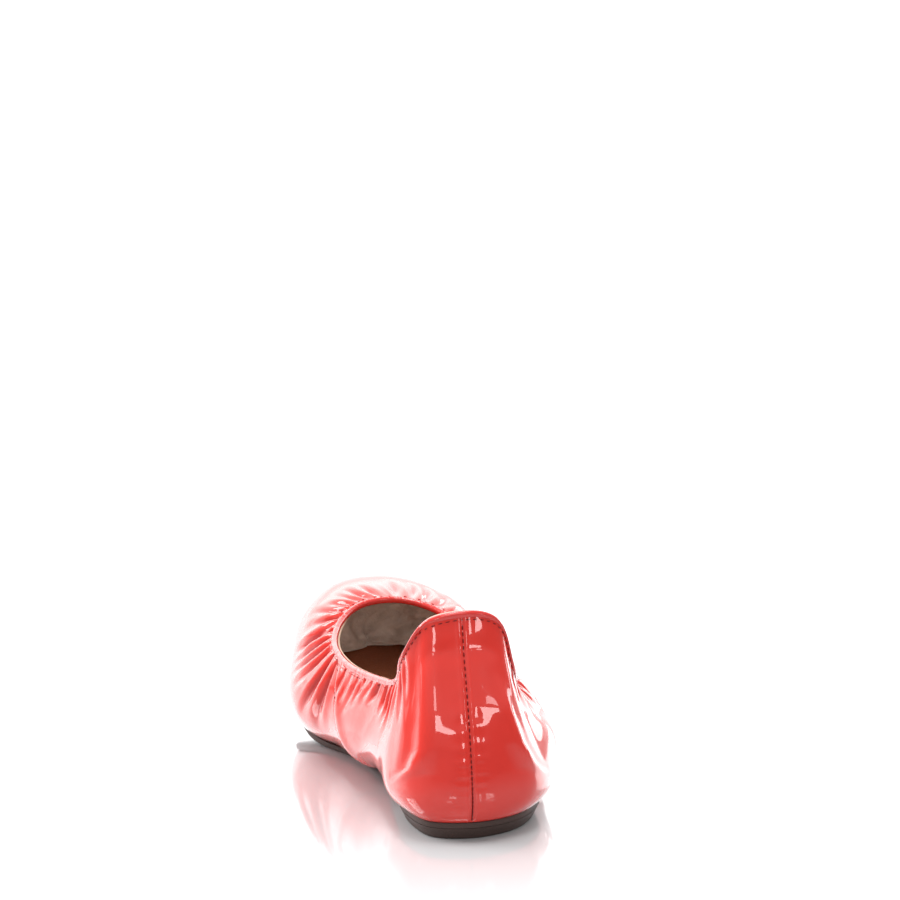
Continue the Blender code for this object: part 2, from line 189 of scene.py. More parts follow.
# The solids stand with the middle of their box over the origin, so the last is moved as they were.
OUTSOLE_LOW, OUTSOLE_HIGH = (np.array(corner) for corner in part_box("outsole"))
_edge = outline_at(np.arange(96) / 96, -OUTSOLE_PROUD)
SHIFT = (OUTSOLE_LOW + OUTSOLE_HIGH)[:2] / 2 - (_edge.min(axis=0) + _edge.max(axis=0)) / 2
SIZES[:, 0:2] += SHIFT
SIZES[:, 2:4] += SHIFT
print("the last moved by", SHIFT / MM, "mm")


def sole_height(y):
    return outsole_top(y - SHIFT[1])


def wall_curve(around, up):
    """Points of the last's side, around it and up from the sole (0) to the topline (1)."""
    around = around % 1.0
    here, outwards = feather_line(around)
    foot = np.column_stack([here[:, :2], sole_height(here[:, 1]) + CLEARANCE])
    top = here[:, 2:5]
    reach = np.linalg.norm(top - foot, axis=1)[:, None]
    out = np.column_stack([outwards, np.zeros(len(around))])
    rise = np.array([0.0, 0.0, 1.0])
    low = foot + reach * (out * here[:, 5:6] + rise * here[:, 6:7])
    high = top + reach * (out * here[:, 7:8] + rise * here[:, 8:9])
    t = up[:, None]
    points = (1 - t)**3 * foot + 3 * (1 - t)**2 * t * low + 3 * (1 - t) * t**2 * high + t**3 * top
    return points, 3.0 * np.linalg.norm(top - high, axis=1)


def wall_frame(around, up):
    """Points on the wall with the directions square to it, round it and up it."""
    points, _ = wall_curve(around, up)
    above, _ = wall_curve(around, np.minimum(up + NUDGE, 1.0))
    below, _ = wall_curve(around, np.maximum(up - NUDGE, 0.0))
    upwards = above - below
    along = wall_curve(around + NUDGE, up)[0] - wall_curve(around - NUDGE, up)[0]
    per_share = np.linalg.norm(along, axis=1) / (2 * NUDGE)
    normal = np.cross(upwards, along)
    normal /= np.linalg.norm(normal, axis=1)[:, None]
    along /= np.linalg.norm(along, axis=1)[:, None]
    upwards /= np.linalg.norm(upwards, axis=1)[:, None]
    return points, normal, along, upwards, per_share


def wall_point(around, up, offset):
    points, normal, _, _, _ = wall_frame(around, up)
    return points + normal * np.asarray(offset)[..., None]


def below_topline(around, depth):
    """The share of the way up at which a depth under the topline lies."""
    _, end_speed = wall_curve(around, np.ones(len(around)))
    return 1.0 - depth / end_speed


def sole_point(around, inset, height):
    place = outline_at(around, inset)
    return np.column_stack([place, sole_height(place[:, 1]) + height])


def column_shares(count):
    """Columns of the wall, spaced evenly along the sole and the topline, and closer at the back seam."""
    fine = np.linspace(0.0, 1.0, 8 * count + 1)
    lengths = np.zeros(len(fine) - 1)
    for up in (0.0, 1.0, 1.0):
        line, _ = wall_curve(fine, np.full(len(fine), up))
        lengths += np.linalg.norm(np.diff(line, axis=0), axis=1)
    to_seam = np.minimum(fine[1:], 1.0 - fine[1:])
    lengths *= 1.0 + 3.0 * np.exp(-(to_seam / 0.012)**2)
    gone = np.concatenate([[0.0], np.cumsum(lengths)]) / lengths.sum()
    return np.interp(np.arange(count) / count, gone, fine)


# %% [markdown]
# The seams. The quarters overlap the vamp at two upright side seams, and they meet in a closed seam up the
# back. On the sheet, a seam is a line of its own: it has one share of the way round at the sole and another
# at the top. Behind the side seams the wall stands a little prouder, and beside each seam it dips where the
# thread pulls.

# %% Seams on the sheet
SIDE_SEAMS = {"inner": (0.182, 0.280), "outer": (0.815, 0.715)}
SEAM_BLEND = 0.0030


def seam_share(side, up):
    low, high = SIDE_SEAMS[side]
    return low + (high - low) * up


def quarter_step(around, up):
    """How far the quarters lie proud of the vamp."""
    inner, outer = seam_share("inner", up), seam_share("outer", up)
    past_inner = smooth_step(inner, inner + SEAM_BLEND, around)
    past_outer = smooth_step(outer - SEAM_BLEND, outer, around)
    return QUARTER_STEP * (1.0 - past_inner * (1.0 - past_outer))


# %% [markdown]
# The folds. The elastic gathers the topline, so the skin is too long there and buckles into folds that run
# away from it. The long ones are placed from the photograph on the side that it shows and in the same
# manner elsewhere: a row says where a fold starts at the topline and where it ends, how wide and deep
# its trough is, and how far down the wall it runs. Each trough has a rounded shoulder on both sides, which
# makes patent leather glint. The many short pleats are worked out by a wave whose width and depth wander. A
# cloth simulation could find folds too, but not these ones.

# %% Long folds, placed one by one
FOLD_DEPTH = 1.35
FOLD_COLUMNS = ("top", "low", "width", "depth", "start", "end")
FOLDS = (
    (0.072, 0.042, 2.6, 0.35, 0.02, 0.46),
    (0.086, 0.060, 2.3, 0.90, 0.02, 0.44),
    (0.102, 0.090, 2.3, 1.10, 0.02, 0.44),
    (0.118, 0.108, 2.3, 1.50, 0.02, 0.50),
    (0.133, 0.124, 2.2, 1.40, 0.02, 0.42),
    (0.149, 0.141, 2.1, 1.10, 0.02, 0.34),
    (0.166, 0.178, 2.2, 1.20, 0.02, 0.26),
    (0.184, 0.196, 2.0, 0.35, 0.02, 0.26),
    (0.201, 0.219, 2.2, 0.45, 0.02, 0.36),
    (0.216, 0.228, 2.2, 0.50, 0.02, 0.44),
    (0.232, 0.238, 2.2, 0.35, 0.02, 0.42),
    (0.250, 0.245, 2.2, 0.60, 0.02, 0.50),
    (0.266, 0.254, 2.2, 0.40, 0.02, 0.50),
    (0.284, 0.276, 2.4, 1.30, 0.02, 0.74),
    (0.300, 0.300, 2.5, 1.60, 0.02, 0.72),
    (0.315, 0.328, 2.4, 1.30, 0.02, 0.58),
    (0.328, 0.350, 2.6, 1.60, 0.02, 0.66),
    (0.344, 0.362, 2.8, 1.80, 0.02, 0.68),
    (0.362, 0.374, 2.9, 1.90, 0.02, 0.66),
    (0.378, 0.366, 2.6, 1.50, 0.02, 0.50),
    (0.393, 0.396, 2.7, 1.50, 0.02, 0.46),
    (0.410, 0.412, 2.8, 1.50, 0.02, 0.44),
    (0.426, 0.420, 2.4, 1.00, 0.02, 0.34),
    (0.443, 0.438, 2.4, 0.80, 0.02, 0.28),
    (0.459, 0.452, 2.6, 1.20, 0.02, 0.26),
    (0.474, 0.470, 2.4, 0.90, 0.02, 0.22),
    (0.498, 0.498, 2.6, 1.00, 0.02, 0.24),
    (0.520, 0.516, 2.4, 0.80, 0.02, 0.22),
    (0.540, 0.530, 2.6, 1.20, 0.02, 0.26),
    (0.560, 0.552, 2.6, 1.20, 0.02, 0.30),
    (0.580, 0.574, 2.6, 1.30, 0.02, 0.36),
    (0.598, 0.600, 2.8, 1.50, 0.02, 0.46),
    (0.616, 0.628, 2.8, 1.70, 0.02, 0.58),
    (0.634, 0.640, 2.8, 1.80, 0.02, 0.64),
    (0.652, 0.656, 2.7, 1.60, 0.02, 0.66),
    (0.669, 0.668, 2.6, 1.50, 0.02, 0.62),
    (0.686, 0.690, 2.5, 1.60, 0.02, 0.66),
    (0.702, 0.710, 2.4, 1.30, 0.02, 0.64),
    (0.722, 0.730, 2.4, 1.00, 0.02, 0.52),
    (0.740, 0.744, 2.4, 1.20, 0.02, 0.50),
    (0.757, 0.762, 2.4, 1.00, 0.02, 0.42),
    (0.775, 0.776, 2.4, 1.20, 0.02, 0.44),
    (0.792, 0.800, 2.4, 1.10, 0.02, 0.40),
    (0.810, 0.812, 2.4, 1.30, 0.02, 0.42),
    (0.828, 0.834, 2.4, 1.00, 0.02, 0.40),
    (0.846, 0.850, 2.4, 1.10, 0.02, 0.40),
    (0.863, 0.870, 2.4, 1.10, 0.02, 0.40),
    (0.880, 0.888, 2.4, 1.10, 0.02, 0.40),
    (0.897, 0.910, 2.4, 0.80, 0.02, 0.38),
    (0.914, 0.934, 2.4, 0.60, 0.02, 0.36),
    (0.928, 0.946, 2.6, 0.25, 0.03, 0.34),
)


def wrapped(distance):
    """A difference between two shares of the way round, the short way."""
    return (distance + 0.5) % 1.0 - 0.5


def long_folds(around, up, per_share):
    """Height in metres that the long folds add to the wall."""
    down = 1.0 - up
    height = np.zeros(len(around))
    for row in FOLDS:
        fold = dict(zip(FOLD_COLUMNS, row))
        gone = np.clip(down / fold["end"], 0.0, 1.0)
        line = fold["top"] + wrapped(fold["low"] - fold["top"]) * gone
        width = fold["width"] * MM * (0.62 + 1.15 * gone)
        x = wrapped(around - line) * per_share / width
        strength = smooth_step(0.0, fold["start"] + 0.08, down) * (1.0 - smooth_step(0.35, 1.0, gone))
        trough = np.exp(-1.25 * (np.sqrt(x**2 + 0.04) - 0.2))
        shoulders = 0.42 * np.exp(-0.5 * (np.abs(x) - 1.25) ** 2 / 0.30)
        height -= FOLD_DEPTH * fold["depth"] * MM * strength * (trough - shoulders) * np.exp(-0.10 * x**2)
    return height


# %% Short pleats under the topline
def wander(share, seed, waves=9):
    """A smooth closed curve about 0 that wanders round the shoe, the same for the same seed."""
    draw = np.random.default_rng(seed)
    total = np.zeros_like(share)
    for turn in range(1, waves + 1):
        total += draw.normal() * np.cos(2 * np.pi * (turn * 3 * share + draw.random())) / np.sqrt(waves)
    return total


PLEAT_PITCH = 2.7 * MM
PLEAT_DEPTH = 0.80 * MM
TOPLINE_SHARES = np.linspace(0, 1, 2001)
_topline, _ = wall_curve(TOPLINE_SHARES, np.ones(len(TOPLINE_SHARES)))
TOPLINE_GONE = np.concatenate([[0.0], np.cumsum(np.linalg.norm(np.diff(_topline, axis=0), axis=1))])
print("topline length %.0f mm" % (TOPLINE_GONE[-1] / MM))


def along_topline(around):
    """Length along the topline from the back seam."""
    return np.interp(around % 1.0, TOPLINE_SHARES, TOPLINE_GONE)


def gather_amount(around):
    """How hard the elastic gathers: not at all up the counter, and at the toe half as much as beside it."""
    from_back = np.abs(wrapped(around))
    off_counter = smooth_step(0.068, 0.115, from_back)
    over_toe = 0.55 + 0.45 * smooth_step(0.02, 0.10, np.abs(around - 0.50))
    return off_counter * over_toe


def short_pleats(around, up):
    depth = (1.0 - up) * wall_curve(around, np.ones(len(around)))[1]
    phase = along_topline(around) / PLEAT_PITCH + 1.3 * wander(around, 4)
    pleat = np.abs(np.sin(np.pi * phase)) - 0.62
    deep = 0.60 + 0.30 * wander(around, 7, 14)
    run = (7.0 + 2.5 * wander(around, 11, 14)) * MM
    fade = smooth_step(0.0, 1.2 * MM, depth) * (1.0 - smooth_step(0.30 * run, 1.25 * run, depth))
    return PLEAT_DEPTH * deep * pleat * fade * gather_amount(around)


# %% Dips and puckers beside the seams
SEAM_DIP = 0.55 * MM
PUCKER_PITCH = 5.2 * MM
PUCKER_DEPTH = 0.07 * MM
BACK_SEAM_LENGTH = 76.0 * MM


def seam_dips(around, up, per_share):
    """Grooves where the thread pulls the seams down, with small puckers beside the back one."""
    height = np.zeros(len(around))
    down = 1.0 - up
    for side in SIDE_SEAMS:
        x = (around - seam_share(side, up)) * per_share / (0.9 * MM)
        height -= SEAM_DIP * np.exp(-0.5 * x**2)
        puff = np.abs(x) / 4.5
        behind = (x < 0) if side == "inner" else (x > 0)
        height += behind * 0.9 * MM * puff * np.exp(0.5 - 0.5 * puff**2) * smooth_step(0.02, 0.2, up)
    x = wrapped(around) * per_share
    height -= 0.50 * MM * np.exp(-0.5 * (x / (0.55 * MM))**2)
    height += 0.12 * MM * np.exp(-0.5 * ((np.abs(x) - 1.6 * MM) / (0.8 * MM))**2)
    side_of_seam = np.sign(x)
    rung = down * BACK_SEAM_LENGTH / PUCKER_PITCH + 0.35 * side_of_seam + 0.4 * np.sin(9.0 * down)
    pucker = np.cos(2 * np.pi * rung)
    beside = np.exp(-0.5 * ((np.abs(x) - 3.0 * MM) / (1.9 * MM))**2)
    patch = np.exp(-0.5 * ((down - 0.45) / 0.14)**2) + 0.8 * np.exp(-0.5 * ((down - 0.68) / 0.12)**2)
    height += PUCKER_DEPTH * pucker * beside * patch
    return height


# %% [markdown]
# The counter and the soft bulges. The stiffener inside the heel keeps the back flat, and it ends on each
# side in a soft upright edge, so a table says where that edge stands at each height. In front of it nothing
# is stiff: an empty gathered shoe puffs out behind its seams and swells between its folds. These are wide
# low mounds, added over everything else, and a few shallow dents in the counter, which break up what it
# mirrors.

# %% The stiff counter's edges
CORNER_COLUMNS = ("up", "inner", "outer")
CORNERS = (
    (0.28, 0.060, 0.930),
    (0.36, 0.036, 0.950),
    (0.46, 0.029, 0.962),
    (0.60, 0.027, 0.969),
    (0.80, 0.027, 0.973),
    (1.00, 0.030, 0.972),
)
CORNER_HEIGHT = 1.3 * MM
CORNER_HOLLOW = {"inner": 1.1 * MM, "outer": 0.4 * MM}
CORNER_FADES = {"inner": (0.70, 0.97, 0.55), "outer": (0.58, 0.76, 1.0)}


def counter_corners(around, up, per_share):
    """Height that the counter's two soft edges add, with a hollow in front of each, weaker near the top."""
    places = np.array(CORNERS)
    height = np.zeros(len(around))
    for column, forwards in (("inner", 1.0), ("outer", -1.0)):
        start, end, amount = CORNER_FADES[column]
        strength = smooth_step(0.26, 0.42, up) * (1.0 - amount * smooth_step(start, end, up))
        line = np.interp(up, places[:, 0], places[:, CORNER_COLUMNS.index(column)])
        x = wrapped(around - line) * forwards * per_share / MM
        ridge = np.where(x < 0, np.exp(-0.5 * (x / 4.2)**2), np.exp(-0.5 * (x / 2.0)**2))
        hollow = np.exp(-0.5 * ((x - 5.2) / 2.6)**2)
        height += strength * (CORNER_HEIGHT * ridge - CORNER_HOLLOW[column] * hollow)
    return height


# %% Soft mounds and the whole relief
MOUND_COLUMNS = ("around", "up", "wide", "tall", "height")
MOUNDS = (
    (0.205, 0.45, 0.026, 0.22, 1.4),
    (0.140, 0.46, 0.034, 0.16, 1.5),
    (0.065, 0.20, 0.030, 0.10, 0.9),
    (0.930, 0.20, 0.030, 0.10, 0.8),
    (0.016, 0.835, 0.012, 0.030, -0.45),
    (0.984, 0.845, 0.012, 0.030, -0.50),
    (0.000, 0.600, 0.030, 0.130, 0.90),
    (0.870, 0.45, 0.035, 0.18, 1.5),
    (0.800, 0.46, 0.028, 0.22, 1.2),
    (0.450, 0.62, 0.030, 0.16, 0.7),
    (0.530, 0.60, 0.030, 0.18, 0.7),
    (0.390, 0.50, 0.026, 0.20, 0.6),
    (0.610, 0.50, 0.026, 0.22, 0.6),
)


def soft_mounds(around, up):
    height = np.zeros(len(around))
    for row in MOUNDS:
        mound = dict(zip(MOUND_COLUMNS, row))
        x = wrapped(around - mound["around"]) / mound["wide"]
        y = (up - mound["up"]) / mound["tall"]
        height += mound["height"] * MM * np.exp(-0.5 * (x**2 + y**2))
    return height


def relief(around, up):
    """Everything that the skin adds to the last. Its folds die out where the skin turns under the shoe."""
    _, _, _, _, per_share = wall_frame(around, up)
    total = long_folds(around, up, per_share) + short_pleats(around, up) + seam_dips(around, up, per_share)
    total += soft_mounds(around, up) + counter_corners(around, up, per_share)
    return total * smooth_step(0.0, 0.10, up) + quarter_step(around, up)


# %% [markdown]
# Rolling a sheet. The skin, the lining and the binding are all sheets that go once round the shoe and close
# on themselves. So one helper makes them: it starts from Blender's flat grid, sends each vertex to its place
# round the last, and welds the two edges that meet. The grid's own columns and rows are kept as a UV map,
# which says for each point how far round and how far up it is, and the finishes read it.

# %% Helper that rolls a flat grid round the last
def finish_mesh(bm, name, finish):
    mesh = bpy.data.meshes.new(name)
    bm.to_mesh(mesh)
    bm.free()
    mesh.shade_smooth()
    made = bpy.data.objects.new(name, mesh)
    bpy.context.scene.collection.objects.link(made)
    mesh.materials.append(finish)
    return made


def rolled_sheet(name, rows, ups, around, finish, creases_and_painted_shade=None):
    """rows is a list of rings of places, ups the share of the way up that each ring has on the sheet.
    The last argument says for each place how deep it lies in a fold, and is kept as an attribute, from which
    the patent finish paints shade into the fold troughs."""
    places = np.stack(rows, axis=1)
    columns, count = places.shape[:2]
    around = np.append(around, 1.0)
    ups = np.append(ups, ups[0])
    bm = bmesh.new()
    bmesh.ops.create_grid(bm, x_segments=columns, y_segments=count, size=1.0)
    charts = bm.loops.layers.uv.new("UVMap")
    painted_fold_shade = bm.verts.layers.float.new("painted_fold_shade")
    depths = np.zeros((columns, count)) if creases_and_painted_shade is None else np.stack(creases_and_painted_shade, axis=1)
    for face in bm.faces:
        for corner in face.loops:
            column = round((corner.vert.co.x + 1.0) / 2.0 * columns)
            row = round((corner.vert.co.y + 1.0) / 2.0 * count)
            corner[charts].uv = (around[column], ups[row])
    for vertex in bm.verts:
        column = round((vertex.co.x + 1.0) / 2.0 * columns) % columns
        row = round((vertex.co.y + 1.0) / 2.0 * count) % count
        vertex.co = places[column, row]
        vertex[painted_fold_shade] = depths[column, row]
    bmesh.ops.remove_doubles(bm, verts=bm.verts, dist=1e-7)
    bmesh.ops.recalc_face_normals(bm, faces=bm.faces)
    print(name, "has", len(bm.faces), "faces")
    return finish_mesh(bm, name, finish)


def dress(piece, node):
    """The piece rides on the shoe's one body, and stands for a solid if one is named."""
    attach(piece, "root")
    if node:
        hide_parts(node)


# %% [markdown]
# Writing shaders as sums. A finish is a small network of nodes, and long networks are hard to read as a list
# of links. Here a class wraps a socket, so that Python's own operators add the Math nodes, and a second
# class holds one finish and adds any other node. What changes over the surface goes to colour, roughness and
# bump only.

# %% Shader helpers
class Signal:
    """A value on a socket, which Python arithmetic can work on."""

    def __init__(self, finish, socket):
        self.finish = finish
        self.socket = socket

    def __add__(self, other):
        return self.finish.math("ADD", self, other)

    def __sub__(self, other):
        return self.finish.math("SUBTRACT", self, other)

    def __rsub__(self, other):
        return self.finish.math("SUBTRACT", other, self)

    def __mul__(self, other):
        return self.finish.math("MULTIPLY", self, other)

    __radd__ = __add__
    __rmul__ = __mul__


class Finish:
    """One material, with its Principled shader and a way to add nodes to it."""

    def __init__(self, name, color, roughness, **constants):
        self.material = bpy.data.materials.new(name)
        self.material.use_nodes = True
        self.tree = self.material.node_tree
        self.shader = self.tree.nodes["Principled BSDF"]
        self.shader.inputs["Base Color"].default_value = (*color, 1.0)
        self.shader.inputs["Roughness"].default_value = roughness
        for socket, value in constants.items():
            self.shader.inputs[socket.replace("_", " ")].default_value = value

    def node(self, kind, settings=None, **inputs):
        made = self.tree.nodes.new(kind)
        for key, value in (settings or {}).items():
            setattr(made, key, value)
        for key, value in inputs.items():
            socket = made.inputs[int(key[1:])] if key[1:].isdigit() else made.inputs[key.replace("_", " ")]
            self.feed(socket, value)
        return made

    def feed(self, socket, value):
        if isinstance(value, Signal):
            self.tree.links.new(value.socket, socket)
        elif isinstance(value, bpy.types.NodeSocket):
            self.tree.links.new(value, socket)
        else:
            socket.default_value = value

    def math(self, operation, *values):
        made = self.node("ShaderNodeMath", {"operation": operation})
        for socket, value in zip(made.inputs, values):
            self.feed(socket, value)
        return Signal(self, made.outputs[0])

    def clamped(self, value, low, high):
        made = self.node("ShaderNodeMapRange", {"clamp": True, "interpolation_type": "SMOOTHSTEP"},
                         i0=value, i1=low, i2=high, i3=0.0, i4=1.0)
        return Signal(self, made.outputs[0])

    def place(self):
        return self.node("ShaderNodeTexCoord").outputs["Object"]

    def chart(self):
        """The share of the way round and the share of the way up, from the piece's UV map."""
        chart = self.node("ShaderNodeUVMap", {"uv_map": "UVMap"})
        split = self.node("ShaderNodeSeparateXYZ", i0=chart.outputs[0])
        return Signal(self, split.outputs[0]), Signal(self, split.outputs[1])

    def noise(self, vector, scale, detail=3.0, roughness=0.5):
        made = self.node("ShaderNodeTexNoise", {"noise_dimensions": "3D"}, Vector=vector, Scale=scale,
                         Detail=detail, Roughness=roughness)
        return Signal(self, made.outputs[0])

    def cells(self, vector, scale, feature="F1"):
        made = self.node("ShaderNodeTexVoronoi", {"feature": feature}, Vector=vector, Scale=scale)
        return Signal(self, made.outputs[0])

    def blended(self, factor, low, high):
        made = self.node("ShaderNodeMix", {"data_type": "RGBA"}, i0=factor)
        self.feed(made.inputs[6], low)
        self.feed(made.inputs[7], high)
        return made.outputs[2]

    def bump(self, height, distance):
        made = self.node("ShaderNodeBump", Strength=1.0, Distance=distance, Height=height)
        self.feed(self.shader.inputs["Normal"], made.outputs[0])

    def color(self, socket):
        self.feed(self.shader.inputs["Base Color"], socket)

    def roughness(self, value):
        self.feed(self.shader.inputs["Roughness"], value)


# %% [markdown]
# Red patent. Patent is coloured leather or cloth under a thick clear lacquer: the colour is deep and even,
# and the shine sits over it. So the base is red and hardly shines, and a smooth coat carries the
# reflections. The lacquer isn't flat. It has a faint swell as wide as a finger tip, and fine upright
# wrinkles where the elastic bunches it. In the troughs of the folds the base is painted a darker red, as
# painted shade.

# %% Finish of the skin and the binding
def patent_finish(name, color, shade, wrinkle):
    finish = Finish(name, color, 0.28, Coat_Weight=1.0, Coat_Roughness=0.030, Coat_IOR=1.5,
                    Specular_IOR_Level=0.1)
    around, up = finish.chart()
    place = finish.place()
    swell = finish.noise(place, 55.0, 2.0, 0.45)
    orange_peel = finish.noise(place, 900.0, 2.0, 0.5)
    near_top = finish.clamped(up, 0.72, 0.97)
    pleats = finish.node("ShaderNodeCombineXYZ", i0=around * 300.0, i1=up * 9.0)
    off_counter = finish.clamped(around, 0.06, 0.11) * (1.0 - finish.clamped(around, 0.90, 0.95))
    wrinkles = finish.noise(pleats.outputs[0], 1.0, 3.0, 0.6) * near_top * off_counter
    # Painted shade: the fold depth kept on the skin turns the base a darker red in the troughs, and the
    # swell adds a little random tone.
    painted_fold_shade = finish.node("ShaderNodeAttribute", {"attribute_name": "painted_fold_shade"}).outputs["Fac"]
    fold_shade_mask = finish.clamped(painted_fold_shade, 0.05, 0.95)
    finish.color(finish.blended(fold_shade_mask * 0.85 + swell * 0.15, (*color, 1.0), (*shade, 1.0)))
    finish.roughness(0.20 + 0.10 * swell + 0.10 * fold_shade_mask)
    finish.bump(swell * 0.40 + orange_peel * 0.010 + wrinkles * wrinkle, 0.0009)
    return finish.material


PATENT = patent_finish("red_patent", (0.620, 0.026, 0.016), (0.380, 0.010, 0.007), 0.45)
PATENT_EDGE = patent_finish("red_patent_edge", (0.560, 0.022, 0.016), (0.400, 0.011, 0.009), 0.30)

# %% [markdown]
# The other finishes. The lining is a thin greige textile glued inside, creased like paper, with painted
# shade in the hollows of its creases and painted light on their ridges. The sock on the insole is brown
# leather with a fine grain. The sole and the heel are dull dark rubber with a moulded skin. The thread is a
# darker red than the skin, and the lining ends in a pale folded edge.

# %% Finishes of the lining, the insole, the rubber and the threads
def lining_finish():
    finish = Finish("greige_lining", (0.64, 0.57, 0.50), 0.62, Sheen_Weight=0.15, Sheen_Roughness=0.5)
    place = finish.place()
    creases_and_painted_shade = finish.clamped(finish.noise(place, 62.0, 4.0, 0.6), 0.25, 0.75)
    weave = finish.cells(place, 1500.0)
    # Painted shade and light: the colour is darker in the hollows of the bumped creases and paler on their
    # ridges.
    finish.color(finish.blended(creases_and_painted_shade, (0.50, 0.44, 0.38, 1.0), (0.78, 0.71, 0.63, 1.0)))
    finish.roughness(0.50 + 0.25 * creases_and_painted_shade)
    finish.bump(creases_and_painted_shade * 0.9 + weave * 0.07, 0.0014)
    return finish.material


def sock_finish():
    finish = Finish("brown_sock", (0.33, 0.100, 0.042), 0.55)
    place = finish.place()
    clouds = finish.noise(place, 26.0, 3.0, 0.5)
    grain = finish.cells(place, 1100.0, "SMOOTH_F1")
    pores = finish.noise(place, 2600.0, 2.0, 0.5)
    finish.color(finish.blended(clouds, (0.27, 0.080, 0.034, 1.0), (0.40, 0.125, 0.052, 1.0)))
    finish.roughness(0.45 + 0.25 * clouds)
    finish.bump(grain * 0.5 + pores * 0.3, 0.00035)
    return finish.material


def rubber_finish(name, color, worn):
    finish = Finish(name, color, 0.55, Specular_IOR_Level=0.3)
    place = finish.place()
    clouds = finish.noise(place, 45.0, 3.0, 0.55)
    grit = finish.noise(place, 1800.0, 3.0, 0.6)
    finish.color(finish.blended(clouds, (*color, 1.0), (*worn, 1.0)))
    finish.roughness(0.42 + 0.30 * clouds)
    finish.bump(grit * 0.6 + clouds * 0.5, 0.00030)
    return finish.material


def thread_finish(name, color):
    finish = Finish(name, color, 0.7, Specular_IOR_Level=0.25)
    twist = finish.noise(finish.place(), 3500.0, 2.0, 0.5)
    finish.color(finish.blended(twist, (*(0.7 * c for c in color), 1.0), (*color, 1.0)))
    finish.bump(twist, 0.0002)
    return finish.material


LINING = lining_finish()
SOCK = sock_finish()
OUTSOLE_RUBBER = rubber_finish("outsole_rubber", (0.050, 0.029, 0.024), (0.072, 0.044, 0.037))
HEEL_RUBBER = rubber_finish("heel_rubber", (0.048, 0.028, 0.023), (0.070, 0.043, 0.036))
THREAD = thread_finish("dark_red_thread", (0.150, 0.011, 0.011))
PALE_EDGE = thread_finish("pale_folded_edge", (0.62, 0.42, 0.30))

# %% [markdown]
# The skin. On the real shoe it is cut flat, sewn into a ring, gathered and pulled over the last. Here the
# ring is rolled straight onto the last: rows go from the edge turned in under the insole, up the outside
# with all its relief, over the top and down the inside, where the lining covers it, to the turned-in edge
# again. Rows stand closer together near the topline, because the pleats are finest there.

# %% Roll the skin
SKIN_COLUMNS = 700
SKIN_ROWS = 88
SKIN_THICKNESS = 0.8 * MM
SKIN_TOP = 1.6 * MM
INNER_ROWS = 12
INNER_FOOT = 0.02
FEATHER_INSET = 1.2 * MM


def skin_sheet():
    around = column_shares(SKIN_COLUMNS)
    top = below_topline(around, SKIN_TOP)
    shares = 1.0 - (1.0 - np.arange(1, SKIN_ROWS + 1) / SKIN_ROWS) ** 1.25
    nothing = np.zeros(len(around))
    rings = [sole_point(around, TURNED_IN, CLEARANCE), sole_point(around, FEATHER_INSET, CLEARANCE)]
    ups, creases_and_painted_shade = [0.0, 0.0], [nothing, nothing]
    for share in shares:
        up = share * top
        _, _, _, _, per_share = wall_frame(around, up)
        rings.append(wall_point(around, up, relief(around, up)))
        ups.append(share)
        # How deep each place lies in a fold, kept so that the patent finish paints shade into the troughs.
        folds = long_folds(around, up, per_share) + 1.5 * short_pleats(around, up)
        creases_and_painted_shade.append(np.clip(-folds / (1.3 * MM), -1.0, 1.0))
    for share in np.linspace(1.0, INNER_FOOT, INNER_ROWS):
        up = share * top
        rings.append(wall_point(around, up, np.minimum(relief(around, up), 0.0) - SKIN_THICKNESS))
        ups.append(share)
        creases_and_painted_shade.append(nothing)
    rings.append(sole_point(around, TURNED_IN, CLEARANCE + SKIN_THICKNESS))
    ups.append(0.0)
    creases_and_painted_shade.append(nothing)
    return rolled_sheet("upper_skin", rings, ups, around, PATENT, creases_and_painted_shade)


dress(skin_sheet(), "upper")

# %% [markdown]
# The lining. It is a second, softer ring inside the skin, with creases of its own, because it isn't
# stretched. It bags most in the toe, where the photograph shows it loose and wrinkled, and there it hangs
# down onto the insole.

# %% Roll the lining
LINING_COLUMNS = 360
LINING_ROWS = 48
LINING_TOP = 3.2 * MM
LINING_SAG = 19.0 * MM


def lining_creases(around, up):
    toe = 1.0 - smooth_step(0.06, 0.16, np.abs(around - 0.50))
    slack = 0.25 + 1.7 * toe
    waves = wander(around + 0.03 * np.sin(7 * up), 21, 10) * np.sin(5.0 * up + 2.0 * wander(around, 22, 5))
    cross = np.sin(34.0 * up + 5.0 * wander(around, 23, 6)) * (0.5 + 0.5 * wander(around, 24, 8))
    edge = smooth_step(0.0, 0.12, up) * (1.0 - smooth_step(0.86, 0.97, up))
    return MM * slack * edge * (0.75 * waves + 0.50 * cross + 0.45)


def lining_sheet():
    around = column_shares(LINING_COLUMNS)
    top = below_topline(around, LINING_TOP)
    at_toe = 1.0 - smooth_step(0.03, 0.13, np.abs(around - 0.50))
    rings, ups = [], []
    shares = np.arange(LINING_ROWS + 1) / LINING_ROWS
    for share in shares:
        up = INNER_FOOT + (top - INNER_FOOT) * share
        hangs = at_toe * (1.0 - smooth_step(0.0, 0.70, up))
        loose = np.maximum(lining_creases(around, up), -0.2 * MM)
        inwards = WALL + loose - np.minimum(relief(around, up), 0.0)
        close = wall_point(around, up, -inwards)
        ring = wall_point(around, up, -inwards - LINING_SAG * hangs)
        ring[:, 2] += (sole_height(ring[:, 1]) - sole_height(close[:, 1])) * hangs
        rings.append(ring)
        ups.append(share)
    for share in shares[::-6]:
        up = INNER_FOOT + (top - INNER_FOOT) * share
        rings.append(wall_point(around, up, np.minimum(relief(around, up), 0.0) - SKIN_THICKNESS - 0.2 * MM))
        ups.append(share)
    return rolled_sheet("upper_lining", rings, ups, around, LINING)


dress(lining_sheet(), None)

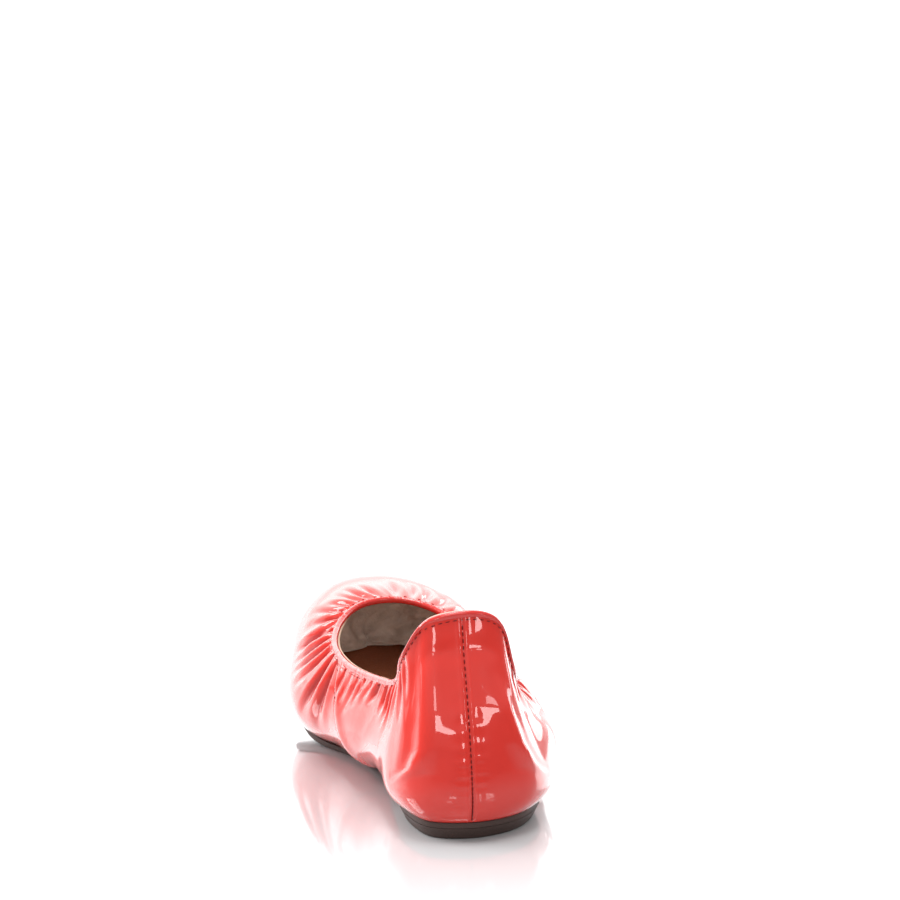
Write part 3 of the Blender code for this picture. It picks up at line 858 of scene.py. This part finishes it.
# %% [markdown]
# The binding. The elastic runs in a narrow casing that is folded over the topline. It looks like a soft
# roll, a little scalloped by the gathers, with its stitches just under it. Its section is a rounded channel,
# walked round the topline, and a wave like that of the pleats, but finer and shallower, ripples it.

# %% Roll the binding
BINDING_COLUMNS = 900
GATHER_PITCH = 1.9 * MM
RIPPLE_OUTSIDE, RIPPLE_INSIDE = 0.22 * MM, 0.12 * MM
BINDING_DEPTH = 2.5 * MM
BINDING_PROUD, BINDING_PROUD_INSIDE = 0.65 * MM, 0.4 * MM
BINDING_CROWN_STEPS = 8


def binding_profile():
    """Offset from the last's side and depth under the topline, from the outer leg over the crown inwards."""
    outside, inside = BINDING_PROUD, -WALL - BINDING_PROUD_INSIDE
    middle, half = (outside + inside) / 2, (outside - inside) / 2
    profile = [(0.15 * MM, BINDING_DEPTH + 0.1 * MM), (outside - 0.35 * MM, BINDING_DEPTH),
               (outside, BINDING_DEPTH - 0.8 * MM), (outside + 0.15 * MM, BINDING_DEPTH * 0.5)]
    for step in range(BINDING_CROWN_STEPS + 1):
        angle = np.pi * step / BINDING_CROWN_STEPS
        profile.append((middle + half * np.cos(angle), 0.75 * half * (1.0 - np.sin(angle))))
    profile += [(inside - 0.1 * MM, BINDING_DEPTH * 0.5), (inside, BINDING_DEPTH - 0.8 * MM),
                (inside + 0.35 * MM, BINDING_DEPTH), (inside + 0.7 * MM, BINDING_DEPTH),
                (-WALL * 0.5, BINDING_DEPTH * 0.6)]
    return profile


def binding_sheet():
    around = column_shares(BINDING_COLUMNS)
    phase = along_topline(around) / GATHER_PITCH + 1.9 * wander(around, 4)
    scallop = (np.abs(np.sin(np.pi * phase)) - 0.6) * (0.7 + 0.3 * wander(around, 31, 20))
    scallop *= gather_amount(around)
    rings, ups = [], []
    for index, (offset, depth) in enumerate(binding_profile()):
        up = below_topline(around, depth)
        outside = offset > -WALL / 2
        ripple = scallop * (RIPPLE_OUTSIDE if outside else RIPPLE_INSIDE) * np.sign(offset + WALL / 2)
        lift = quarter_step(around, up) * outside
        rings.append(wall_point(around, up, offset + ripple + lift))
        ups.append(0.90 + 0.005 * index)
    return rolled_sheet("binding_roll", rings, ups, around, PATENT_EDGE)


dress(binding_sheet(), "topline_binding")

# %% [markdown]
# Stitches. A row of stitches is many small threads that each go into the skin at both ends. One stitch is a
# stretched ico sphere, and a row is the same stitch set down along a line on the wall, all joined in one
# mesh.

# %% Helper that sews a row of stitches
def sew(name, around, up, lift, length, thickness):
    """One joined mesh of stitches at each place along a line on the wall, lifted a little off the skin."""
    points, normal, _, _, _ = wall_frame(around, up)
    points = points + normal * (relief(around, up) + lift)[:, None]
    ahead = np.roll(points, -1, axis=0) - points
    ahead[-1] = ahead[-2]
    bm = bmesh.new()
    for place, square, direction in zip(points, normal, ahead):
        direction = direction / np.linalg.norm(direction)
        side = np.cross(square, direction)
        turn = Matrix((direction * length, side * thickness, square * thickness * 0.8)).transposed().to_4x4()
        turn.translation = Vector(place)
        bmesh.ops.create_icosphere(bm, subdivisions=1, radius=0.5, matrix=turn)
    bmesh.ops.recalc_face_normals(bm, faces=bm.faces)
    print(name, "has", len(points), "stitches")
    return finish_mesh(bm, name, THREAD)


def evenly_along_topline(pitch, start, end):
    """Shares of the way round that stand at an even pitch along the topline."""
    gone = np.arange(start, end, pitch)
    return np.interp(gone, TOPLINE_GONE, TOPLINE_SHARES)


# %% Sew the binding, the side seams and the back seam
BINDING_STITCH = 2.6 * MM
STITCHES_UNDER_BINDING = 0.9 * MM
SIDE_STITCHES, BACK_STITCHES = 30, 34
STITCHES_ASIDE = 0.0032


def binding_stitches():
    around = evenly_along_topline(BINDING_STITCH, 0.0, TOPLINE_GONE[-1] - BINDING_STITCH / 2)
    up = below_topline(around, BINDING_DEPTH + STITCHES_UNDER_BINDING)
    return sew("binding_stitches", around, up, lift=0.05 * MM, length=1.8 * MM, thickness=0.38 * MM)


def side_seam_stitches(side):
    """The row stands on the quarter, just behind its seam."""
    up = np.linspace(0.06, 0.93, SIDE_STITCHES)
    around = seam_share(side, up) + (-STITCHES_ASIDE if side == "inner" else STITCHES_ASIDE)
    return sew(side + "_seam_stitches", around, up, lift=0.08 * MM, length=1.3 * MM, thickness=0.34 * MM)


def back_seam_stitches():
    up = np.linspace(0.05, 0.93, BACK_STITCHES)
    around = np.zeros(BACK_STITCHES)
    return sew("back_seam_stitches", around, up, lift=0.18 * MM, length=1.9 * MM, thickness=0.46 * MM)


dress(binding_stitches(), None)
dress(side_seam_stitches("inner"), None)
dress(side_seam_stitches("outer"), None)
dress(back_seam_stitches(), None)

# %% [markdown]
# The lining's pale edge. Just inside the binding the lining is folded on itself, and the fold shows as a
# thin pale line round the inside. It is a thin round tube swept along the topline.

# %% Roll the lining's edge
EDGE_COLUMNS = 480
EDGE_SIDES = 8
EDGE_RADIUS = 0.55 * MM
EDGE_DROP_AT_THROAT = 2.4 * MM


def lining_edge():
    """The tube lies lower at the throat than elsewhere."""
    around = column_shares(EDGE_COLUMNS)
    at_throat = 1.0 - smooth_step(0.06, 0.15, np.abs(around - 0.52))
    sunk = EDGE_RADIUS + EDGE_DROP_AT_THROAT * at_throat
    inwards = np.full(len(around), WALL + EDGE_RADIUS)
    rings = []
    for angle in 2 * np.pi * np.arange(EDGE_SIDES) / EDGE_SIDES:
        up = below_topline(around, sunk - EDGE_RADIUS * np.sin(angle))
        rings.append(wall_point(around, up, -inwards - EDGE_RADIUS * np.cos(angle)))
    return rolled_sheet("lining_edge", rings, np.full(EDGE_SIDES, 0.95), around, PALE_EDGE)


dress(lining_edge(), None)

# %% [markdown]
# Bent plates. The insole and the outsole are cut from sheet by an outline and then bent with the shoe. So
# each starts as a filled circle whose points are moved to the outline. It is raised by its thickness, its
# edges are rounded, and it is sliced across so that it can bend. Only then is every point lifted to the
# sole's line. The heel starts in the same way, and stays straight.

# %% Helper that cuts a plate and bends it
OUTLINE = np.arange(240) / 240
SLICE_PITCH = 3.0 * MM


def raised_outline(lower, upper, thickness):
    """A flat plate between two outlines with the same points."""
    bm = bmesh.new()
    circle = bmesh.ops.create_circle(bm, cap_ends=True, segments=len(lower), radius=1.0)
    for vertex, place in zip(circle["verts"], lower):
        vertex.co = (place[0], place[1], 0.0)
    raised = bmesh.ops.extrude_face_region(bm, geom=bm.faces[:])
    lifted = [item for item in raised["geom"] if isinstance(item, bmesh.types.BMVert)]
    for vertex in lifted:
        nearest = int(np.argmin(np.linalg.norm(lower - np.array(vertex.co[:2]), axis=1)))
        vertex.co = (upper[nearest][0], upper[nearest][1], thickness)
    bmesh.ops.recalc_face_normals(bm, faces=bm.faces)
    return bm


def round_edges(bm, height, offset, segments=3):
    rim = [edge for edge in bm.edges if len(edge.link_faces) == 2 and edge.calc_face_angle(0.0) > 0.7
           and all(abs(vertex.co.z - height) < 1e-6 for vertex in edge.verts)]
    bmesh.ops.bevel(bm, geom=rim, offset=offset, segments=segments, profile=0.5, affect="EDGES", material=-1)


def slice_across(bm):
    low = min(vertex.co.y for vertex in bm.verts)
    high = max(vertex.co.y for vertex in bm.verts)
    for y in np.arange(low + SLICE_PITCH, high, SLICE_PITCH):
        bmesh.ops.bisect_plane(bm, geom=bm.verts[:] + bm.edges[:] + bm.faces[:], dist=1e-7,
                               plane_co=(0.0, y, 0.0), plane_no=(0.0, 1.0, 0.0))


def bend(bm, line):
    for vertex in bm.verts:
        vertex.co.z += float(line(vertex.co.y - SHIFT[1]))


# %% Cut the insole
def insole_plate():
    edge = outline_at(OUTLINE, WALL + CLEARANCE + 0.1 * MM)
    bm = raised_outline(edge, edge, INSOLE_THICKNESS)
    round_edges(bm, INSOLE_THICKNESS, 0.7 * MM)
    slice_across(bm)
    bend(bm, lambda y: outsole_top(y) + CLEARANCE + WALL + CLEARANCE)
    return finish_mesh(bm, "insole_sock", SOCK)


dress(insole_plate(), "insole")

# %% Cut the outsole
def outsole_plate():
    edge = outline_at(OUTLINE, -OUTSOLE_PROUD)
    bm = raised_outline(edge, edge, OUTSOLE_THICKNESS)
    round_edges(bm, OUTSOLE_THICKNESS, 0.35 * MM, 2)
    round_edges(bm, 0.0, 0.30 * MM, 2)
    slice_across(bm)
    bend(bm, outsole_bottom)
    return finish_mesh(bm, "outsole_sheet", OUTSOLE_RUBBER)


dress(outsole_plate(), "outsole")

# %% [markdown]
# The heel. It is one low moulded block, drawn in towards the floor, with a straight slanted breast. The
# outline is cut off at the breast, the open side is closed, and the tread's edge is rounded a little, as
# wear does.

# %% Cut the heel
def heel_block():
    upper = outline_at(OUTLINE, -OUTSOLE_PROUD)
    tread = outline_at(OUTLINE, HEEL_DRAFT - OUTSOLE_PROUD)
    bm = raised_outline(tread, upper, HEEL_LIFT_HEIGHT + CLEARANCE)
    breast = (0.0, HEEL_BREAST * SOLE_LENGTH + SHIFT[1], 0.0)
    cut = bmesh.ops.bisect_plane(bm, geom=bm.verts[:] + bm.edges[:] + bm.faces[:], plane_co=breast,
                                 plane_no=(0.0, 1.0, -BREAST_LEAN), clear_outer=True)
    open_edges = [item for item in cut["geom_cut"] if isinstance(item, bmesh.types.BMEdge)]
    bmesh.ops.contextual_create(bm, geom=open_edges)
    bmesh.ops.recalc_face_normals(bm, faces=bm.faces)
    round_edges(bm, 0.0, 0.6 * MM, 3)
    made = finish_mesh(bm, "heel_block", HEEL_RUBBER)
    made.data.set_sharp_from_angle(angle=np.radians(35.0))
    return made


dress(heel_block(), "heel_lift")

# %% [markdown]
# The set. The shoe stands on a plain pale floor that shines a little, more so towards the toe, under soft
# studio light. Patent shows its shape only through what it mirrors, so the lights are chosen as reflections:
# a bright backdrop beyond the toe, soft panels to the left, the right and overhead, a weak fill from above
# the camera, and behind the camera four small panes, low and high on either side, whose images show on the
# counter.

# %% Floor
def floor():
    bm = bmesh.new()
    bmesh.ops.create_grid(bm, x_segments=1, y_segments=1, size=6.0)
    finish = Finish("pale_floor", (0.575, 0.575, 0.583), 0.08, Metallic=0.50)
    place = finish.place()
    split = finish.node("ShaderNodeSeparateXYZ", i0=place)
    far = finish.clamped(split.outputs[1], -0.22, 0.02)
    finish.roughness(0.06 + 0.03 * finish.noise(place, 6.0))
    finish.feed(finish.shader.inputs["Metallic"], 0.04 + 0.50 * far)
    made = finish_mesh(bm, "floor", finish.material)


floor()

# %% Camera at the photograph's angle
CAMERA_TURN = np.radians(12.4)
CAMERA_PITCH = np.radians(9.3)
CAMERA_DISTANCE = 900.0 * MM
CAMERA_HEIGHT = 290.7 * MM
CAMERA_ASIDE = 9.4 * MM
BEHIND_SOLE = 5.0 * MM
SENSOR_WIDTH = 36.0
FOCAL_PIXELS = 2606.0
FRAME_PIXELS = 900.0


def camera():
    """The camera stands behind the heel, a little to the inner side, and looks slightly down. Its distances
    are measured from a point on the floor just behind the sole."""
    heading = Vector((np.sin(CAMERA_TURN), np.cos(CAMERA_TURN), 0.0))
    right = Vector((np.cos(CAMERA_TURN), -np.sin(CAMERA_TURN), 0.0))
    rise = Vector((0.0, 0.0, 1.0))
    heel = Vector((SHIFT[0], SHIFT[1] - BEHIND_SOLE, 0.0))
    stand = heel - heading * CAMERA_DISTANCE - right * CAMERA_ASIDE + rise * CAMERA_HEIGHT
    forward = heading * np.cos(CAMERA_PITCH) - rise * np.sin(CAMERA_PITCH)
    upright = heading * np.sin(CAMERA_PITCH) + rise * np.cos(CAMERA_PITCH)
    turn = Matrix((right, upright, -forward)).transposed().to_4x4()
    data = bpy.data.cameras.new("camera")
    data.sensor_width = SENSOR_WIDTH
    data.lens = FOCAL_PIXELS / FRAME_PIXELS * SENSOR_WIDTH
    data.clip_start = 0.01
    made = bpy.data.objects.new("camera", data)
    made.matrix_world = Matrix.Translation(stand) @ turn
    bpy.context.scene.collection.objects.link(made)
    bpy.context.scene.camera = made


camera()

# %% Lights
LIGHT_COLUMNS = ("name", "place", "size", "radiance")
LIGHTS_AIM = (0.0, -0.03, 0.04)
LIGHTS = (
    ("left_panel", (-0.95, 0.72, 0.22), (0.85, 0.36), 1.2),
    ("left_key", (-1.40, 0.45, 1.30), (0.90, 0.90), 12.0),
    ("right_panel", (0.98, 0.64, 0.24), (0.84, 0.40), 4.2),
    ("top_panel", (0.05, -0.08, 1.20), (0.50, 0.40), 12.5),
    ("front_fill", (0.10, -1.60, 2.10), (1.20, 1.00), 2.0),
    ("left_pane_low", (-0.26, -1.36, 0.35), (0.16, 0.12), 9.0),
    ("left_pane_high", (-0.34, -1.34, 0.53), (0.14, 0.10), 6.0),
    ("right_pane_low", (0.78, -1.22, 0.39), (0.24, 0.12), 9.0),
    ("right_pane_high", (0.86, -1.16, 0.55), (0.16, 0.08), 6.0),
)


def lights():
    for row in LIGHTS:
        light = dict(zip(LIGHT_COLUMNS, row))
        data = bpy.data.lights.new(light["name"], "AREA")
        data.shape = "RECTANGLE"
        data.size, data.size_y = light["size"]
        data.energy = light["radiance"] * np.pi * data.size * data.size_y
        made = bpy.data.objects.new(light["name"], data)
        aim = Vector(LIGHTS_AIM) - Vector(light["place"])
        made.location = light["place"]
        made.rotation_euler = aim.to_track_quat("-Z", "Y").to_euler()
        bpy.context.scene.collection.objects.link(made)


def backdrop():
    """A studio's surround: dim behind the camera, bright beyond the toe, brighter to its left and above."""
    world = bpy.data.worlds.new("studio")
    world.use_nodes = True
    tree = world.node_tree
    background = tree.nodes["Background"]
    coordinates = tree.nodes.new("ShaderNodeTexCoord")
    split = tree.nodes.new("ShaderNodeSeparateXYZ")
    tree.links.new(coordinates.outputs["Generated"], split.inputs[0])

    def ramp(socket, start, end, low, high):
        made = tree.nodes.new("ShaderNodeMapRange")
        made.interpolation_type = "SMOOTHSTEP"
        for name, value in zip(("From Min", "From Max", "To Min", "To Max"), (start, end, low, high)):
            made.inputs[name].default_value = value
        tree.links.new(split.outputs[socket], made.inputs["Value"])
        return made.outputs[0]

    def combined(operation, one, other):
        made = tree.nodes.new("ShaderNodeMath")
        made.operation = operation
        tree.links.new(one, made.inputs[0])
        tree.links.new(other, made.inputs[1])
        return made.outputs[0]

    wall = combined("MULTIPLY", ramp("Y", 0.50, 0.92, 0.32, 1.40), ramp("X", -0.32, 0.06, 1.65, 1.0))
    sky = combined("MULTIPLY", ramp("Z", 0.14, 0.40, 0.0, 1.8), ramp("Y", 0.0, 0.50, 0.2, 1.0))
    tree.links.new(combined("ADD", wall, sky), background.inputs["Strength"])
    background.inputs["Color"].default_value = (1.0, 1.0, 1.0, 1.0)
    bpy.context.scene.world = world


lights()
backdrop()
bpy.context.scene.view_settings.view_transform = "Standard"
